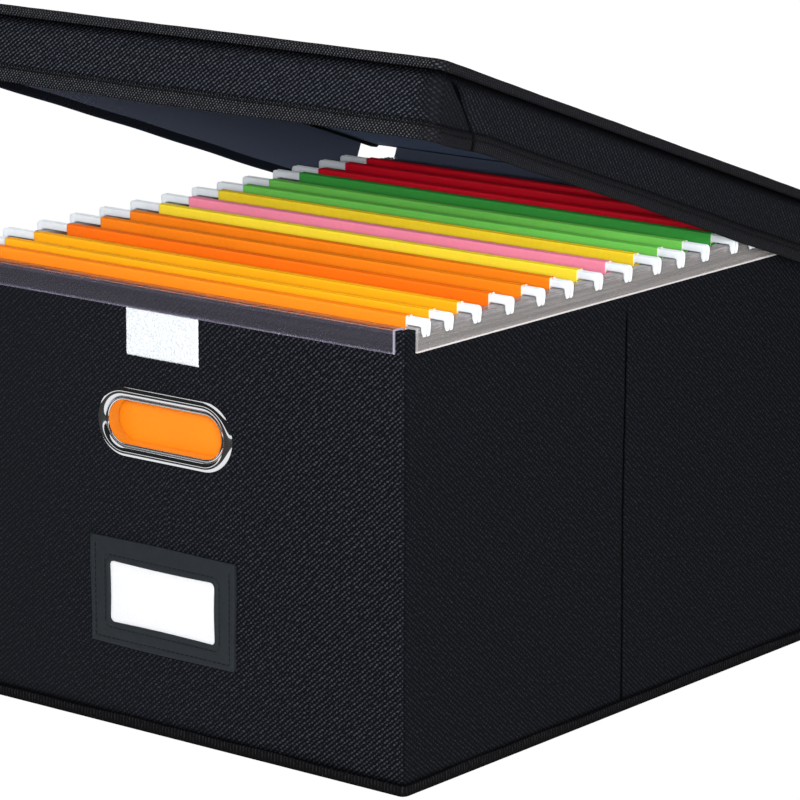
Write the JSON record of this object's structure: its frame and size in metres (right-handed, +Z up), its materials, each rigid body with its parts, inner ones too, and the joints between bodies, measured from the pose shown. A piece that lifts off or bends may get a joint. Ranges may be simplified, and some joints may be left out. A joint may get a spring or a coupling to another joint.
{
  "type": "portable file box",
  "caption": "Fabric-covered file box with a flip lid on a cloth hinge, framed hand holes, a label pocket and hanging folders that slide on clear rim rails.",
  "frame": {"origin": "on the floor, under the middle of the base", "axes": "+X to the right of someone facing the label, +Y from the front to the hinge, +Z up"},
  "size_m": [0.3448, 0.3941, 0.3853],
  "materials": {
    "board": "matt grey-brown bookbinding board, hidden inside the walls",
    "woven_fabric": "coarse black synthetic weave with pale dots, slight sheen",
    "lining_fabric": "smooth dark grey-blue lining cloth",
    "binding_tape": "fine ribbed black edging tape",
    "clear_plastic": "clear extruded channel, glossy, faint grey tint",
    "chrome": "bright polished flange",
    "grey_leatherette": "dark grey smooth coated sheet, stitched edge",
    "white_card": "plain white card insert",
    "hook_and_loop": "white fuzzy fastening tape",
    "coated_rod": "flat steel blade with white plastic coating, glossy",
    "card_orange": "dyed folder card, orange, matt with a faint grain",
    "card_amber": "dyed folder card, amber, matt with a faint grain",
    "card_deep_orange": "dyed folder card, deep orange, matt with a faint grain",
    "card_yellow": "dyed folder card, yellow, matt with a faint grain",
    "card_pink": "dyed folder card, pink, matt with a faint grain",
    "card_ochre": "dyed folder card, ochre, matt with a faint grain",
    "card_green": "dyed folder card, green, matt with a faint grain",
    "card_dark_green": "dyed folder card, dark green, matt with a faint grain",
    "card_red": "dyed folder card, red, matt with a faint grain"
  },
  "bodies": {
    "root": {"front_board": "board", "back_board": "board", "left_front_board": "board", "left_rear_board": "board", "right_front_board": "board", "right_rear_board": "board", "outer_cover": "woven_fabric", "inner_lining": "lining_fabric", "base_panel": "woven_fabric", "base_binding": "binding_tape", "base_insert": "lining_fabric", "front_rail": "clear_plastic", "back_rail": "clear_plastic", "left_rail": "clear_plastic", "right_rail": "clear_plastic", "front_handle_ring": "chrome", "front_handle_backing": "chrome", "back_handle_ring": "chrome", "back_handle_backing": "chrome", "label_holder": "grey_leatherette", "front_loop_patch": "hook_and_loop", "hinge_strip": "binding_tape"},
    "lid": {"lid_board": "board", "lid_cover": "woven_fabric", "lid_lining": "lining_fabric", "lid_front_skirt": "woven_fabric", "lid_left_skirt": "woven_fabric", "lid_right_skirt": "woven_fabric", "lid_hook_patch": "hook_and_loop"},
    "label_insert": {"label_card": "white_card"},
    "folder_01": {"folder_01_card": "card_orange", "folder_01_rods": "coated_rod"},
    "folder_02": {"folder_02_card": "card_amber", "folder_02_rods": "coated_rod"},
    "folder_03": {"folder_03_card": "card_amber", "folder_03_rods": "coated_rod"},
    "folder_04": {"folder_04_card": "card_deep_orange", "folder_04_rods": "coated_rod"},
    "folder_05": {"folder_05_card": "card_orange", "folder_05_rods": "coated_rod"},
    "folder_06": {"folder_06_card": "card_orange", "folder_06_rods": "coated_rod"},
    "folder_07": {"folder_07_card": "card_yellow", "folder_07_rods": "coated_rod"},
    "folder_08": {"folder_08_card": "card_pink", "folder_08_rods": "coated_rod"},
    "folder_09": {"folder_09_card": "card_ochre", "folder_09_rods": "coated_rod"},
    "folder_10": {"folder_10_card": "card_green", "folder_10_rods": "coated_rod"},
    "folder_11": {"folder_11_card": "card_green", "folder_11_rods": "coated_rod"},
    "folder_12": {"folder_12_card": "card_dark_green", "folder_12_rods": "coated_rod"},
    "folder_13": {"folder_13_card": "card_red", "folder_13_rods": "coated_rod"},
    "folder_14": {"folder_14_card": "card_red", "folder_14_rods": "coated_rod"},
    "folder_15": {"folder_15_card": "card_red", "folder_15_rods": "coated_rod"}
  },
  "joints": [
    {"name": "lid_hinge", "type": "hinge", "parent": "root", "child": "lid", "pos_m": [0, 0.1954, 0.248], "axis": [-1, 0, 0], "range_deg": [-19.1, 160]},
    {"name": "folder_01_slide", "type": "slide", "parent": "root", "child": "folder_01", "axis": [0, 1, 0], "range_m": [-0.002, 0.006]},
    {"name": "folder_02_slide", "type": "slide", "parent": "root", "child": "folder_02", "axis": [0, 1, 0], "range_m": [-0.006, 0.008]},
    {"name": "folder_03_slide", "type": "slide", "parent": "root", "child": "folder_03", "axis": [0, 1, 0], "range_m": [-0.008, 0.01]},
    {"name": "folder_04_slide", "type": "slide", "parent": "root", "child": "folder_04", "axis": [0, 1, 0], "range_m": [-0.01, 0.01]},
    {"name": "folder_05_slide", "type": "slide", "parent": "root", "child": "folder_05", "axis": [0, 1, 0], "range_m": [-0.01, 0.009]},
    {"name": "folder_06_slide", "type": "slide", "parent": "root", "child": "folder_06", "axis": [0, 1, 0], "range_m": [-0.009, 0.01]},
    {"name": "folder_07_slide", "type": "slide", "parent": "root", "child": "folder_07", "axis": [0, 1, 0], "range_m": [-0.01, 0.01]},
    {"name": "folder_08_slide", "type": "slide", "parent": "root", "child": "folder_08", "axis": [0, 1, 0], "range_m": [-0.01, 0.01]},
    {"name": "folder_09_slide", "type": "slide", "parent": "root", "child": "folder_09", "axis": [0, 1, 0], "range_m": [-0.01, 0.008]},
    {"name": "folder_10_slide", "type": "slide", "parent": "root", "child": "folder_10", "axis": [0, 1, 0], "range_m": [-0.008, 0.008]},
    {"name": "folder_11_slide", "type": "slide", "parent": "root", "child": "folder_11", "axis": [0, 1, 0], "range_m": [-0.008, 0.01]},
    {"name": "folder_12_slide", "type": "slide", "parent": "root", "child": "folder_12", "axis": [0, 1, 0], "range_m": [-0.01, 0.005]},
    {"name": "folder_13_slide", "type": "slide", "parent": "root", "child": "folder_13", "axis": [0, 1, 0], "range_m": [-0.005, 0.009]},
    {"name": "folder_14_slide", "type": "slide", "parent": "root", "child": "folder_14", "axis": [0, 1, 0], "range_m": [-0.009, 0.007]},
    {"name": "folder_15_slide", "type": "slide", "parent": "root", "child": "folder_15", "axis": [0, 1, 0], "range_m": [-0.007, 0.018]},
    {"name": "label_slide", "type": "slide", "parent": "root", "child": "label_insert", "axis": [0, 0, 1], "range_m": [0, 0.045]}
  ]
}
